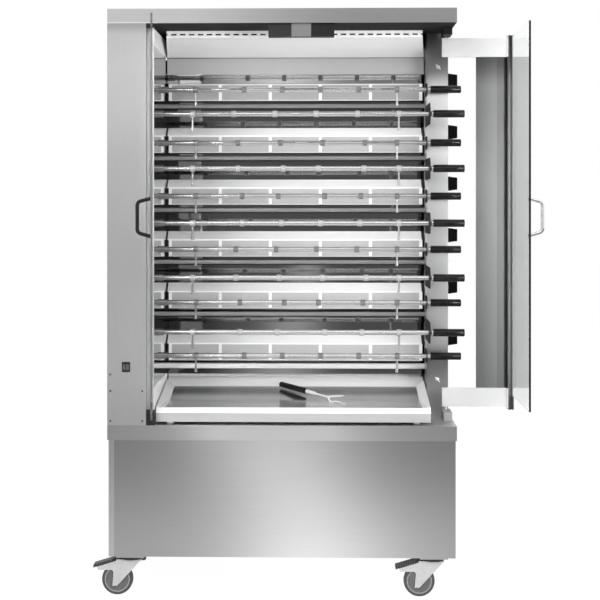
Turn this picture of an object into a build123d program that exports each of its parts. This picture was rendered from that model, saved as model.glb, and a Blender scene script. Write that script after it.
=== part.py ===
"""Floor-standing gas rotisserie cabinet on castors, with two rows of spits.

Millimetres. X runs to the right, Y to the back and Z up. The origin is on the
floor under the middle of the cabinet. Depths are measured from the cabinet's
front face and turned into Y by deep(). The doors stand open, as in use.
"""
import os

from build123d import *

# Sheet metal
SHEET = 2.0
BEARING_PLATE = 3.0
FIT = 0.05
SLIP = 0.5

# Widths, from left to right
COLUMN_W = 125.0
JAMB_W = 23.0
CHAMBER_W = 897.0
POST_W = 72.0
POST_SETBACK = 3.0

# Heights, from the floor up
BASE_H = 375.0
COLLAR_H = 47.0
FIRST_SPIT_H = 196.0
SPIT_PITCH = 180.4
REAR_SPITS = 6
SPIT_HEADROOM = 192.0
CANOPY_H = 47.0
BASE_INSET = 4.0

# Depths, from the front face to the back
LINER_START = 30.0
FRONT_ROW = 165.0
ROW_GAP = 135.0
SPIT_TO_POST = 20.0
SPIT_TO_BURNER = 130.0
BURNER_D = 40.0
SERVICE_D = 108.0

# Spits and forks
ROD_R = 8.0
SOCKET_R = 11.0
SOCKET_OUT = 17.0
SPROCKET_R = 30.0
SPROCKET_W = 8.0
CHAIN_T = 7.0
CHAIN_W = 5.0
FERRULE_R = 9.0
FERRULE_L = 9.0
GRIP_R = 12.5
GRIP_L = 103.0
GRIP_ROUND = 2.5
FORKS_PER_SPIT = 6
FORK_MARGIN = 110.0
FORK_END_MARGIN = 88.0
FORK_SHIFT = 7.0
HUB_L = 16.0
HUB_H = 21.0
HUB_W = 26.0
TINE_R = 2.0
TINE_L = 48.0
TINE_OFFSET = 10.5
SCREW_R = 3.5
SCREW_L = 46.0
SCREW_TIP_R = 5.0
SCREW_TIP_L = 14.0

# Rack that carries the right ends of the spits
ARM_T = 3.0
ARM_REACH = 35.0
ARM_H = 70.0
ARM_CHAMFER = 16.0
ARM_FIX = 40.0
REAR_ARM_H = 44.0
REAR_ARM_REACH = 15.0
REAR_ARM_CHAMFER = 7.5
RACK_COVER_INSET = 100.0
RACK_COVER_CHAMFER = 14.0

# Burners
PLAQUES = 5
PLAQUE_H = 53.0
PLAQUE_T = 8.0
PLAQUE_BAR = 11.0
PLAQUE_RECESS = 2.0
BURNER_LIP = 3.0
BURNER_END_GAP = 8.0
FEED_TUBE_R = 10.0
FEED_TUBE_DROP = 48.0
TUBE_RAIL_H = 17.0
REFLECTOR_H = 28.0

# Hood inside the top of the chamber
HOOD_DROP = 130.0
HOOD_SLOPE = 52.0
HOOD_FRONT = 230.0
HOOD_FRONT_INSET = 20.0
HOOD_BACK_INSET = 3.0
HOOD_LIP_LEAN = 7.0
HOOD_STRIP = 20.0
HOOD_SLOTS = 30
HOOD_SLOT_H = 5.0
HOOD_SLOT_L = 18.0

# Doors
GLASS_T = 6.0
GLASS_TOP_GAP = 25.0
GLASS_BOTTOM_GAP = 80.0
DOOR_PLANE = 6.0
DOOR_GAP = 4.0
HINGE_X_LEFT = 4.0
HINGE_X_RIGHT = 18.0
LEFT_OPEN_ANGLE = 84.0
RIGHT_OPEN_ANGLE = 90.0
STILE_W = 20.0
STILE_T = 12.0
GLASS_BITE = 8.0
SIDE_RETURN = 216.0
SIDE_GAP = 100.0
RAIL_H = 62.0
RAIL_TOP_GAP = 28.0
RAIL_BOTTOM_GAP = 36.0
RAIL_T = 12.0
RAIL_OVERRUN = 13.0
STILE_OVERRUN = 9.0
PIN_R = 4.0
PIN_ENGAGE = 10.0
HINGE_BLOCK = 28.0
HINGE_BLOCK_L = 105.0
HINGE_WALL = 3.0
HANDLE_R = 5.5
HANDLE_H = 125.0
HANDLE_OUT = 44.0
HANDLE_SPLAY = 12.0
HANDLE_BEND = 14.0
HANDLE_EDGE = 24.0
HANDLE_Z = 670.0

# Door catch under the canopy
CATCH_W = 212.0
CATCH_H = 42.0
CATCH_D = 46.0
CATCH_PLATE_W = 62.0
MAGNET_R = 6.0
MAGNET_T = 3.0
MAGNET_GAP = 37.0

# Drip tray
TRAY_GAP = 6.0
TRAY_FRONT = 30.0
TRAY_LIP_Z = 8.0
TRAY_FLOOR_Z = 52.0
TRAY_LIP_H = 16.0
TRAY_LIP_D = 18.0
TRAY_FLAT = 240.0
TRAY_RISE_END = 400.0
TRAY_RISE = 29.0
TRAY_BACK_GAP = 20.0
TRAY_BACK_RISE = 29.0
TRAY_SIDE_BACK = 27.0
TRAY_SIDE_FRONT = 8.0
TRAY_SIDE_FRONT_H = 3.0
RUNNER_W = 20.0
RUNNER_IN = 40.0
GUIDE_W = 32.0

# Serving fork in the tray
FORK_HANDLE_R = 9.5
FORK_HANDLE_L = 130.0
FORK_COLLAR_R = 5.5
FORK_COLLAR_L = 45.0
FORK_PRONG_R = 2.5
FORK_PRONG_L = 135.0
FORK_PRONG_ANGLE = 7.0
FORK_TURN = -46.0
FORK_TILT = 3.4
FORK_ROLL = 62.0
FORK_X = -13.0
FORK_RISE = 6.0
FORK_BACK = 22.0

# Gas knobs, valves and pipe
KNOB_R = 28.0
KNOB_TIP_R = 21.0
KNOB_BASE = 9.0
KNOB_L = 46.0
KNOB_GRIP_W = 13.0
KNOB_RISE = 45.0
KNOB_SETBACK = 70.0
STEM_R = 4.0
VALVE_W = 30.0
VALVE_D = 40.0
PIPE_R = 12.0
FEED_R = 6.0
INLET_R = 10.48
INLET_OUT = 30.0
INLET_H = 60.0

# Drive in the left column
MOTOR_W = 62.0
MOTOR_D = 110.0
MOTOR_H = 90.0
MOTOR_CAN_R = 28.0
MOTOR_CAN_L = 120.0
MOTOR_RISE = 90.0
SPROCKET_INSET = 42.0

# Rocker switches
SWITCH_X = 61.0
SWITCH_Z = 187.0
SWITCH_W = 26.0
SWITCH_H = 32.0
SWITCH_OUT = 3.0
SWITCH_DEPTH = 18.0
ROCKER_W = 9.0
ROCKER_H = 20.0
ROCKER_D = 8.0
ROCKER_GAP = 1.2
TRUNNION_R = 1.2
TRUNNION_IN = 0.5

# Castors
WHEEL_R = 50.0
WHEEL_W = 32.0
TYRE_T = 12.0
TREAD_ROUND = 4.0
AXLE_R = 6.0
TRAIL = 45.0
CASTOR_X = 73.0
PLATE_SIZE = 90.0
PLATE_T = 4.0
HEAD_R = 34.0
HEAD_H = 10.0
HEAD_GAP = 1.0
HEAD_CLEAR = 15.0
KINGPIN_R = 7.0
LEG_T = 3.0
LEG_W = 46.0
LEG_GAP = 2.0
LEG_FOOT_L = 15.0
LEG_FOOT_H = 20.0
LEG_NECK_L = 11.0
LEG_NECK_CUT = 6.0
WING_L = 66.0
WING_H = 31.0
WING_TIP = 10.0
WING_ROOT = 12.0
PEDAL_L = 80.0
PEDAL_W = 46.0
PEDAL_T = 9.0
PEDAL_GAP = 1.0
PEDAL_NECK = 16.0
PEDAL_PIN_R = 3.0

# Levels and planes worked out from the sizes above
CABINET_W = COLUMN_W + JAMB_W + CHAMBER_W + POST_W + POST_SETBACK
LEFT = -CABINET_W / 2
RIGHT = CABINET_W / 2
FORK_TOP = 2 * WHEEL_R + HEAD_CLEAR
CASTOR_H = FORK_TOP + HEAD_H + HEAD_GAP + PLATE_T
CASTOR_IN = BASE_INSET + PLATE_SIZE / 2
WALL_LEFT = LEFT + COLUMN_W + JAMB_W
WALL_RIGHT = WALL_LEFT + CHAMBER_W
POST_RIGHT = WALL_RIGHT + POST_W
BASE_TOP = CASTOR_H + BASE_H
FLOOR = BASE_TOP + COLLAR_H
FIRST_SPIT = FLOOR + FIRST_SPIT_H
ROOF = FIRST_SPIT + (REAR_SPITS - 1) * SPIT_PITCH + SPIT_HEADROOM
TOP = ROOF + CANOPY_H
REAR_ROW = FRONT_ROW + ROW_GAP
POST_FRONT = REAR_ROW + SPIT_TO_POST
BURNER_FACE = REAR_ROW + SPIT_TO_BURNER
BACK_WALL = BURNER_FACE + BURNER_D
CABINET_D = BACK_WALL + SERVICE_D + SHEET


def deep(depth):
    """Y of a point this far behind the cabinet's front face."""
    return depth - CABINET_D / 2


def block(x, d, z):
    """Box between two limits each in X, in depth and in Z."""
    size = Box(x[1] - x[0], d[1] - d[0], z[1] - z[0])
    return Pos((x[0] + x[1]) / 2, deep((d[0] + d[1]) / 2), (z[0] + z[1]) / 2) * size


def rod_x(x, d, z, r):
    """Round bar along X between two limits."""
    return Pos((x[0] + x[1]) / 2, deep(d), z) * Rot(0, 90, 0) * Cylinder(r, x[1] - x[0])


def rod_y(x, d, z, r):
    """Round bar along the depth between two limits."""
    return Pos(x, deep((d[0] + d[1]) / 2), z) * Rot(90, 0, 0) * Cylinder(r, d[1] - d[0])


def rod_z(x, d, z, r):
    """Upright round bar between two limits."""
    return Pos(x, deep(d), (z[0] + z[1]) / 2) * Cylinder(r, z[1] - z[0])


def profile_x(x, points):
    """Depth and height outline carried along X between two limits."""
    outline = Polygon(*[(deep(d), z) for d, z in points], align=None)
    middle = Plane.YZ.offset((x[0] + x[1]) / 2)
    return extrude(middle * outline, amount=(x[1] - x[0]) / 2, both=True)


def profile_y(d, points):
    """X and height outline carried along the depth between two limits."""
    middle = Plane.XZ.offset(-deep((d[0] + d[1]) / 2))
    return extrude(middle * Polygon(*points, align=None), amount=(d[1] - d[0]) / 2, both=True)


def profile_z(z, points):
    """X and depth outline carried upwards between two limits."""
    outline = Polygon(*[(x, deep(d)) for x, d in points], align=None)
    middle = Plane.XY.offset((z[0] + z[1]) / 2)
    return extrude(middle * outline, amount=(z[1] - z[0]) / 2, both=True)


def bent_sheet(x, line):
    """Sheet of even thickness below a depth and height line, along X."""
    below = [(d, z - SHEET) for d, z in reversed(line)]
    return profile_x(x, list(line) + below)


def save(node, *shapes):
    """Write one sub-part, with each of its pieces as a separate solid."""
    solids = [solid for shape in shapes for solid in shape.solids()]
    export_step(Compound(solids), f"parts/{node}.step")


os.makedirs("parts", exist_ok=True)


# Where the spits lie: the rear row has one more than the front row, half a pitch apart
rear_heights = [FIRST_SPIT + i * SPIT_PITCH for i in range(REAR_SPITS)]
front_heights = [z + SPIT_PITCH / 2 for z in rear_heights[:-1]]
spit_places = sorted(
    [(z, REAR_ROW) for z in rear_heights] + [(z, FRONT_ROW) for z in front_heights], reverse=True
)


# Base cabinet: five plain panels under a deep worktop collar, with castor plates below
def base_cabinet():
    left = LEFT + BASE_INSET
    right = RIGHT - BASE_INSET
    front = BASE_INSET
    back = CABINET_D - BASE_INSET
    inner = (left + SHEET, right - SHEET)
    walls = (CASTOR_H + SHEET, BASE_TOP)
    panels = [
        block((left, right), (front, back), (CASTOR_H, CASTOR_H + SHEET)),
        block((left, right), (front, front + SHEET), walls),
        block((left, right), (back - SHEET, back), walls),
        block((left, left + SHEET), (front + SHEET, back - SHEET), walls),
        block((right - SHEET, right), (front + SHEET, back - SHEET), walls),
    ]
    collar = block((LEFT, RIGHT), (0, CABINET_D), (BASE_TOP, FLOOR))
    hollow = block(
        (LEFT + SHEET, RIGHT - SHEET), (SHEET, CABINET_D - SHEET), (BASE_TOP, FLOOR - SHEET)
    )
    collar = fillet((collar - hollow).edges().filter_by(Axis.Z).group_by(Axis.Y)[0], SHEET / 2)
    stiffener = block(inner, (CABINET_D / 2 - SHEET, CABINET_D / 2), walls)
    runner_z = (FLOOR, FLOOR + TRAY_FLOOR_Z - SHEET - SLIP)
    runner_d = (TRAY_FRONT + RUNNER_IN / 2, TRAY_RISE_END)
    runners = [
        block((x, x + RUNNER_W), runner_d, runner_z)
        for x in (WALL_LEFT + RUNNER_IN, WALL_RIGHT - RUNNER_IN - RUNNER_W)
    ]
    half = PLATE_SIZE / 2
    plate_z = (CASTOR_H - PLATE_T, CASTOR_H)
    plates = [block((x - half, x + half), (d - half, d + half), plate_z) for x, d in castor_places()]
    pin_z = (FORK_TOP - LEG_T, plate_z[0])
    kingpins = [rod_z(x, d, pin_z, KINGPIN_R) for x, d in castor_places()[:2]]
    return panels + [collar, stiffener] + runners + plates + kingpins


# Castors: the front pair swivel and have brakes, the rear pair are rigid
def castor_places():
    front = [(x, CASTOR_IN) for x in (LEFT + CASTOR_X, RIGHT - CASTOR_X)]
    rear = [(x, CABINET_D - CASTOR_IN) for x in (LEFT + CASTOR_IN, RIGHT - CASTOR_IN)]
    return front + rear


def castor_wheel(x, d, along_depth):
    """Tyre on a hub, with its axle along the depth or along X."""
    half = WHEEL_W / 2
    hub_half = half + LEG_GAP / 2
    bore = AXLE_R + FIT
    if along_depth:
        tyre = rod_y(x, (d - half, d + half), WHEEL_R, WHEEL_R)
        core = rod_y(x, (d - half, d + half), WHEEL_R, WHEEL_R - TYRE_T)
        hub = rod_y(x, (d - hub_half, d + hub_half), WHEEL_R, 2 * AXLE_R)
        hole = rod_y(x, (d - half * 2, d + half * 2), WHEEL_R, bore)
    else:
        tyre = rod_x((x - half, x + half), d, WHEEL_R, WHEEL_R)
        core = rod_x((x - half, x + half), d, WHEEL_R, WHEEL_R - TYRE_T)
        hub = rod_x((x - hub_half, x + hub_half), d, WHEEL_R, 2 * AXLE_R)
        hole = rod_x((x - half * 2, x + half * 2), d, WHEEL_R, bore)
    ring = tyre - core
    shoulders = ring.edges().filter_by(GeomType.CIRCLE).group_by(SortBy.RADIUS)[-1]
    return [fillet(shoulders, TREAD_ROUND), core + hub - hole]


def wing_height(x, axle_x):
    """Height of the sloping top edge of a swivel fork's wings, which carry the pedal."""
    tip_z = WHEEL_R + WING_H + WING_TIP
    return tip_z + (FORK_TOP - tip_z) * (x - axle_x + WING_L) / (WING_L + WING_ROOT)


def pedal_pin(x):
    """X and Z of the pedal's pivot, beside the swivel head of a castor at this X."""
    pin_x = x - HEAD_R - 2.5 * PEDAL_PIN_R
    return pin_x, wing_height(pin_x, x - TRAIL) + PEDAL_GAP + PEDAL_T / 2


def swivel_fork(x, d):
    """Swivel head, crown, two winged legs with ears for the pedal's pin, and the axle."""
    inside = WHEEL_W / 2 + LEG_GAP
    outside = inside + LEG_T
    axle_x = x - TRAIL
    pin_x, pin_z = pedal_pin(x)
    wing_z = WHEEL_R + WING_H
    leg = [
        (x + HEAD_R, FORK_TOP), (axle_x, WHEEL_R - LEG_FOOT_H), (axle_x - LEG_FOOT_L, WHEEL_R - LEG_FOOT_H),
        (axle_x - LEG_NECK_L, wing_z - LEG_NECK_CUT), (axle_x - LEG_NECK_L - LEG_NECK_CUT, wing_z),
        (axle_x - WING_L + WING_TIP / 2, wing_z), (axle_x - WING_L, wing_z + WING_TIP),
        (axle_x + WING_ROOT, FORK_TOP),
    ]
    head = rod_z(x, d, (FORK_TOP, FORK_TOP + HEAD_H), HEAD_R)
    head += block((x - HEAD_R, x + HEAD_R), (d - outside, d + outside), (FORK_TOP - LEG_T, FORK_TOP))
    head -= rod_z(x, d, (FORK_TOP - LEG_T, FORK_TOP + HEAD_H), KINGPIN_R + FIT)
    ear_x = (pin_x - 2 * PEDAL_PIN_R, pin_x + 2 * PEDAL_PIN_R)
    for sheet in ((d - outside, d - inside), (d + inside, d + outside)):
        head += profile_y(sheet, leg) + block(ear_x, sheet, (wing_z, pin_z + PEDAL_PIN_R + SHEET))
    head -= rod_y(pin_x, (d - outside, d + outside), pin_z, PEDAL_PIN_R + FIT)
    return head + rod_y(axle_x, (d - outside - LEG_T, d + outside + LEG_T), WHEEL_R, AXLE_R)


def rigid_fork(x, d):
    """Crown, two straight legs and the axle."""
    top = CASTOR_H - PLATE_T
    inside = WHEEL_W / 2 + LEG_GAP
    outside = inside + LEG_T
    foot = AXLE_R * 2
    leg = [
        (d - LEG_W / 2, top), (d + LEG_W / 2, top), (d + foot, WHEEL_R - foot), (d - foot, WHEEL_R - foot),
    ]
    fork = block((x - outside, x + outside), (d - LEG_W / 2, d + LEG_W / 2), (top - HEAD_H, top))
    fork += profile_x((x - outside, x - inside), leg)
    fork += profile_x((x + inside, x + outside), leg)
    return fork + rod_x((x - outside - LEG_T, x + outside + LEG_T), d, WHEEL_R, AXLE_R)


def brake_pedal(x, d):
    """Foot lever on a pin through the fork's ears. It lies along the wings while the brake is on."""
    axle_x = x - TRAIL
    pin_x, pin_z = pedal_pin(x)
    inside = WHEEL_W / 2 + LEG_GAP - SLIP
    outside = WHEEL_W / 2 + LEG_GAP + LEG_T

    def bar(half, start):
        low = [(at, wing_height(at, axle_x) + PEDAL_GAP) for at in (start, pin_x - PEDAL_L)]
        return profile_y((d - half, d + half), low + [(at, z + PEDAL_T) for at, z in reversed(low)])

    lever = bar(inside, pin_x) + rod_y(pin_x, (d - inside, d + inside), pin_z, PEDAL_T / 2)
    tread = bar(PEDAL_W / 2, pin_x - PEDAL_NECK)
    return lever + tread + rod_y(pin_x, (d - outside, d + outside), pin_z, PEDAL_PIN_R)


castors = castor_places()
save("base_cabinet", *base_cabinet())
for side, (x, d) in zip(("left", "right"), castors[:2]):
    save(f"castor_fork_front_{side}", swivel_fork(x, d))
    save(f"castor_wheel_front_{side}", *castor_wheel(x - TRAIL, d, True))
    save(f"brake_pedal_{side}", brake_pedal(x, d))
for side, (x, d) in zip(("left", "right"), castors[2:]):
    save(f"castor_wheel_rear_{side}", *castor_wheel(x, d, False))
save("rear_castor_forks", *[rigid_fork(x, d) for x, d in castors[2:]])


# Left column: a sheet casing for the drive, with a bearing plate towards the chamber
COLUMN_EDGE = LEFT + COLUMN_W
SWITCH_CENTRE = (LEFT + SWITCH_X, FLOOR + SWITCH_Z)


def left_column():
    z = (FLOOR, ROOF)
    behind = (SHEET, CABINET_D - SHEET)
    switch_x, switch_z = SWITCH_CENTRE
    half_w = SWITCH_W / 2 - SHEET + SLIP
    half_h = SWITCH_H / 2 - SHEET + SLIP
    front = block((LEFT, COLUMN_EDGE), (0, SHEET), z) - block(
        (switch_x - half_w, switch_x + half_w), (0, SHEET), (switch_z - half_h, switch_z + half_h)
    )
    side = block((LEFT, LEFT + SHEET), behind, z)
    bearings = block((COLUMN_EDGE - BEARING_PLATE, COLUMN_EDGE), behind, z)
    for height, depth in spit_places:
        bearings -= rod_x(
            (COLUMN_EDGE - BEARING_PLATE, COLUMN_EDGE), depth, height, SOCKET_R + FIT
        )
    jamb = block((COLUMN_EDGE, WALL_LEFT - SHEET), (LINER_START - SHEET, LINER_START), z)
    return [front, side, bearings, jamb]


save("left_column", *left_column())


# Drive: a gear motor low in the column turns one chain round every spit's sprocket
SPROCKET_X = COLUMN_EDGE - SPROCKET_INSET
MOTOR_DEPTH = (FRONT_ROW + REAR_ROW) / 2
MOTOR_Z = FIRST_SPIT - MOTOR_RISE


def drive_unit():
    gearbox_x = (LEFT + SHEET, LEFT + SHEET + MOTOR_W)
    gearbox = block(
        gearbox_x,
        (MOTOR_DEPTH - MOTOR_D / 2, MOTOR_DEPTH + MOTOR_D / 2),
        (MOTOR_Z - MOTOR_H / 2, MOTOR_Z + MOTOR_H / 2),
    )
    can_start = MOTOR_DEPTH + MOTOR_D / 2
    can_x = LEFT + SHEET + MOTOR_W / 2
    can = rod_y(can_x, (can_start, can_start + MOTOR_CAN_L), MOTOR_Z, MOTOR_CAN_R)
    shaft = rod_x((gearbox_x[1], SPROCKET_X + SPROCKET_W / 2), MOTOR_DEPTH, MOTOR_Z, ROD_R)
    sprocket = rod_x(
        (SPROCKET_X - SPROCKET_W / 2, SPROCKET_X + SPROCKET_W / 2), MOTOR_DEPTH, MOTOR_Z, SPROCKET_R
    )
    loop = Polygon(
        (deep(FRONT_ROW), front_heights[-1]), (deep(FRONT_ROW), front_heights[0]),
        (deep(MOTOR_DEPTH), MOTOR_Z), (deep(REAR_ROW), rear_heights[0]),
        (deep(REAR_ROW), rear_heights[-1]), align=None,
    )
    band = offset(loop, SPROCKET_R + SLIP + CHAIN_T) - offset(loop, SPROCKET_R + SLIP)
    chain = extrude(Plane.YZ.offset(SPROCKET_X) * band, amount=CHAIN_W / 2, both=True)
    return [gearbox, can, shaft + sprocket, chain]


save("drive_unit", *drive_unit())


# Rocker switches: two rockers side by side in one housing on the column's front
def rocker_axis(side):
    """X of one rocker's middle. Both rock about a line level with the sheet."""
    return SWITCH_CENTRE[0] + side * (ROCKER_W / 2 + ROCKER_GAP)


def switch_housing():
    x, z = SWITCH_CENTRE
    bezel = block((x - SWITCH_W / 2, x + SWITCH_W / 2), (-SWITCH_OUT, 0),
                  (z - SWITCH_H / 2, z + SWITCH_H / 2))
    half_w = SWITCH_W / 2 - SHEET
    half_h = SWITCH_H / 2 - SHEET
    housing = bezel + block((x - half_w, x + half_w), (0, SWITCH_DEPTH), (z - half_h, z + half_h))
    for side in (-1, 1):
        middle = rocker_axis(side)
        reach = ROCKER_W / 2 + SLIP
        tall = ROCKER_H / 2 + ROCKER_GAP
        housing -= block((middle - reach, middle + reach), (-SWITCH_OUT, ROCKER_D), (z - tall, z + tall))
        reach += TRUNNION_IN
        housing -= rod_x((middle - reach, middle + reach), 0, z, TRUNNION_R + FIT)
    return housing


def rocker(side):
    middle = rocker_axis(side)
    z = SWITCH_CENTRE[1]
    tip = ROCKER_H / 2
    proud = SWITCH_OUT + SHEET
    reach = ROCKER_W / 2 + SLIP + TRUNNION_IN
    trunnions = rod_x((middle - reach + FIT, middle + reach - FIT), 0, z, TRUNNION_R)
    return trunnions + profile_x(
        (middle - ROCKER_W / 2, middle + ROCKER_W / 2),
        [(SWITCH_OUT, z - tip * 0.8), (-proud, z - tip), (-proud + SHEET / 2, z), (-proud, z + tip),
         (SWITCH_OUT, z + tip * 0.8)],
    )


save("switch_housing", switch_housing())
save("rocker_left", rocker(-1))
save("rocker_right", rocker(1))


# Chamber liner: mirror-finished walls, a sloping hood and the reflectors between burners
def hood_ends(bottom):
    """Spaces between the hood's slanted ends and the chamber's side walls."""
    front = HOOD_FRONT - SHEET
    back = BURNER_FACE + SHEET
    return [
        profile_z((bottom, ROOF), [
            (wall, front), (wall + inward * HOOD_FRONT_INSET, front),
            (wall + inward * HOOD_BACK_INSET, back), (wall, back),
        ])
        for wall, inward in ((WALL_LEFT, 1), (WALL_RIGHT, -1))
    ]


def chamber_liner():
    inside = (WALL_LEFT, WALL_RIGHT)
    left = block((WALL_LEFT - SHEET, WALL_LEFT), (LINER_START - SHEET, BACK_WALL + SHEET), (FLOOR, ROOF))
    for height, depth in spit_places:
        left -= rod_x((WALL_LEFT - SHEET, WALL_LEFT), depth, height, SOCKET_R + SLIP)
    hood_bottom = ROOF - HOOD_DROP
    back = block(inside, (BACK_WALL, BACK_WALL + SHEET), (FLOOR, hood_bottom))
    strip = block(inside, (HOOD_FRONT - SHEET, HOOD_FRONT), (ROOF - HOOD_STRIP, ROOF))
    slot_step = CHAMBER_W / HOOD_SLOTS
    slot_z = ROOF - HOOD_STRIP + HOOD_SLOT_H
    for i in range(HOOD_SLOTS):
        middle = WALL_LEFT + (i + 0.5) * slot_step
        strip -= block((middle - HOOD_SLOT_L / 2, middle + HOOD_SLOT_L / 2),
                       (HOOD_FRONT - SHEET, HOOD_FRONT), (slot_z, slot_z + HOOD_SLOT_H))
    slope_end = ROOF - HOOD_STRIP - HOOD_SLOPE
    slope = bent_sheet(inside, [(HOOD_FRONT, ROOF - HOOD_STRIP), (BURNER_FACE, slope_end)])
    band = block(inside, (BURNER_FACE, BURNER_FACE + SHEET), (hood_bottom, slope_end))
    burner_tops = [height + PLAQUE_H / 2 + BURNER_LIP + SHEET for height in rear_heights]
    lip_end = BURNER_FACE + HOOD_LIP_LEAN
    band += profile_x(inside, [
        (BURNER_FACE, hood_bottom), (BURNER_FACE + SHEET, hood_bottom),
        (lip_end + SHEET, burner_tops[-1]), (lip_end, burner_tops[-1]),
    ])
    for end in hood_ends(burner_tops[-1]):
        strip -= end
        slope -= end
        band -= end
    shelf = block(inside, (BURNER_FACE + SHEET, BACK_WALL + SHEET), (hood_bottom, hood_bottom + SHEET))
    pieces = [left, back, strip, slope, band, shelf]
    for burner_top in burner_tops[:-1]:
        pieces.append(bent_sheet(
            inside, [(BURNER_FACE, burner_top), (BACK_WALL, burner_top + REFLECTOR_H)]
        ))
    for height in rear_heights:
        rail_top = height - FEED_TUBE_DROP - FEED_TUBE_R - SLIP
        rail_front = BURNER_FACE + FEED_TUBE_R
        rail_low = rail_top - TUBE_RAIL_H
        rail = block(inside, (rail_front, rail_front + SHEET), (rail_low, rail_top))
        rail += block(inside, (rail_front, BACK_WALL), (rail_low, rail_low + SHEET))
        pieces.append(rail)
    return pieces


save("chamber_liner", *chamber_liner())


# Burners: a steel body with ceramic plaques in its face and a feed tube below
BURNER_X = (WALL_LEFT + BURNER_END_GAP, WALL_RIGHT - BURNER_END_GAP)
PLAQUE_STEP = (BURNER_X[1] - BURNER_X[0] - PLAQUE_BAR) / PLAQUES


def plaques(height):
    """Ceramic plaques of one burner, side by side between upright bars."""
    starts = [BURNER_X[0] + PLAQUE_BAR + i * PLAQUE_STEP for i in range(PLAQUES)]
    depth = (BURNER_FACE + PLAQUE_RECESS, BURNER_FACE + PLAQUE_RECESS + PLAQUE_T)
    z = (height - PLAQUE_H / 2, height + PLAQUE_H / 2)
    return [block((x, x + PLAQUE_STEP - PLAQUE_BAR), depth, z) for x in starts]


def burner_body(height):
    outer_z = (height - PLAQUE_H / 2 - BURNER_LIP, height + PLAQUE_H / 2 + BURNER_LIP)
    body = block(BURNER_X, (BURNER_FACE, BACK_WALL), outer_z)
    for i in range(PLAQUES):
        x = BURNER_X[0] + PLAQUE_BAR + i * PLAQUE_STEP
        body -= block((x, x + PLAQUE_STEP - PLAQUE_BAR),
                      (BURNER_FACE, BURNER_FACE + PLAQUE_RECESS + PLAQUE_T),
                      (height - PLAQUE_H / 2, height + PLAQUE_H / 2))
    plenum_z = (outer_z[0] + SHEET, outer_z[1] - SHEET)
    plenum_d = (BURNER_FACE + PLAQUE_RECESS + PLAQUE_T, BACK_WALL)
    return body - block((BURNER_X[0] + SHEET, BURNER_X[1] - SHEET), plenum_d, plenum_z)


FEED_DEPTH = BURNER_FACE + FEED_TUBE_R
save("burner_plaques", *[plaque for height in rear_heights for plaque in plaques(height)])
save(
    "burner_bodies",
    *[burner_body(height) for height in rear_heights],
    *[rod_x((WALL_LEFT, WALL_RIGHT), FEED_DEPTH, height - FEED_TUBE_DROP, FEED_TUBE_R)
      for height in rear_heights],
)


# Right post: a sheet casing that carries the spit rack and hides the gas valves
KNOB_DEPTH = BURNER_FACE + KNOB_SETBACK
VALVE_X = (POST_RIGHT - SHEET - SLIP - VALVE_W, POST_RIGHT - SHEET - SLIP)
knob_heights = [height + KNOB_RISE for height in rear_heights]


def right_post():
    z = (FLOOR, ROOF)
    behind = (POST_FRONT + SHEET, CABINET_D - SHEET)
    front = block((WALL_RIGHT, POST_RIGHT), (POST_FRONT, POST_FRONT + SHEET), z)
    inner = block((WALL_RIGHT, WALL_RIGHT + SHEET), behind, z)
    outer = block((POST_RIGHT - SHEET, POST_RIGHT), behind, z)
    for height in rear_heights:
        inner -= rod_x((WALL_RIGHT, WALL_RIGHT + SHEET), FEED_DEPTH, height - FEED_TUBE_DROP, FEED_R + SLIP)
    for height in knob_heights:
        outer -= rod_x((POST_RIGHT - SHEET, POST_RIGHT), KNOB_DEPTH, height, STEM_R + SLIP)
    guide = block((WALL_RIGHT, WALL_RIGHT + GUIDE_W), (LINER_START / 2, POST_FRONT), (FLOOR, FLOOR + SHEET))
    return [front, inner, outer, guide]


save("right_post", *right_post())


# Spit rack: a cover strip on the post, and notched arms that hold the spits' right ends
def rack_arm(height, depth, reach, tall, cut):
    """Plate on the post's inner side with a notch, open at the top, for one spit."""
    front = depth - reach
    back = POST_FRONT + ARM_FIX
    low = height - tall / 2
    high = height + tall / 2
    x = (WALL_RIGHT - ARM_T, WALL_RIGHT)
    plate = profile_x(x, [(front + cut, low), (back, low), (back, high), (front + cut, high),
                          (front, high - cut), (front, low + cut)])
    notch = ROD_R + SLIP
    plate -= rod_x(x, depth, height, notch)
    return plate - block(x, (depth - notch, depth + notch), (height, high))


def spit_rack():
    cover_x = (WALL_RIGHT + SHEET, POST_RIGHT - POST_SETBACK)
    low = FLOOR + RACK_COVER_INSET
    high = ROOF - RACK_COVER_INSET
    cut = RACK_COVER_CHAMFER
    cover = profile_y(
        (POST_FRONT - SHEET, POST_FRONT),
        [(cover_x[0] + cut, low), (cover_x[1] - cut, low), (cover_x[1], low + cut),
         (cover_x[1], high - cut), (cover_x[1] - cut, high), (cover_x[0] + cut, high),
         (cover_x[0], high - cut), (cover_x[0], low + cut)],
    )
    arms = [rack_arm(height, FRONT_ROW, ARM_REACH, ARM_H, ARM_CHAMFER) for height in front_heights]
    for height in rear_heights:
        arms.append(rack_arm(height, REAR_ROW, REAR_ARM_REACH, REAR_ARM_H, REAR_ARM_CHAMFER))
    return [cover] + arms


save("spit_rack", *spit_rack())


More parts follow.
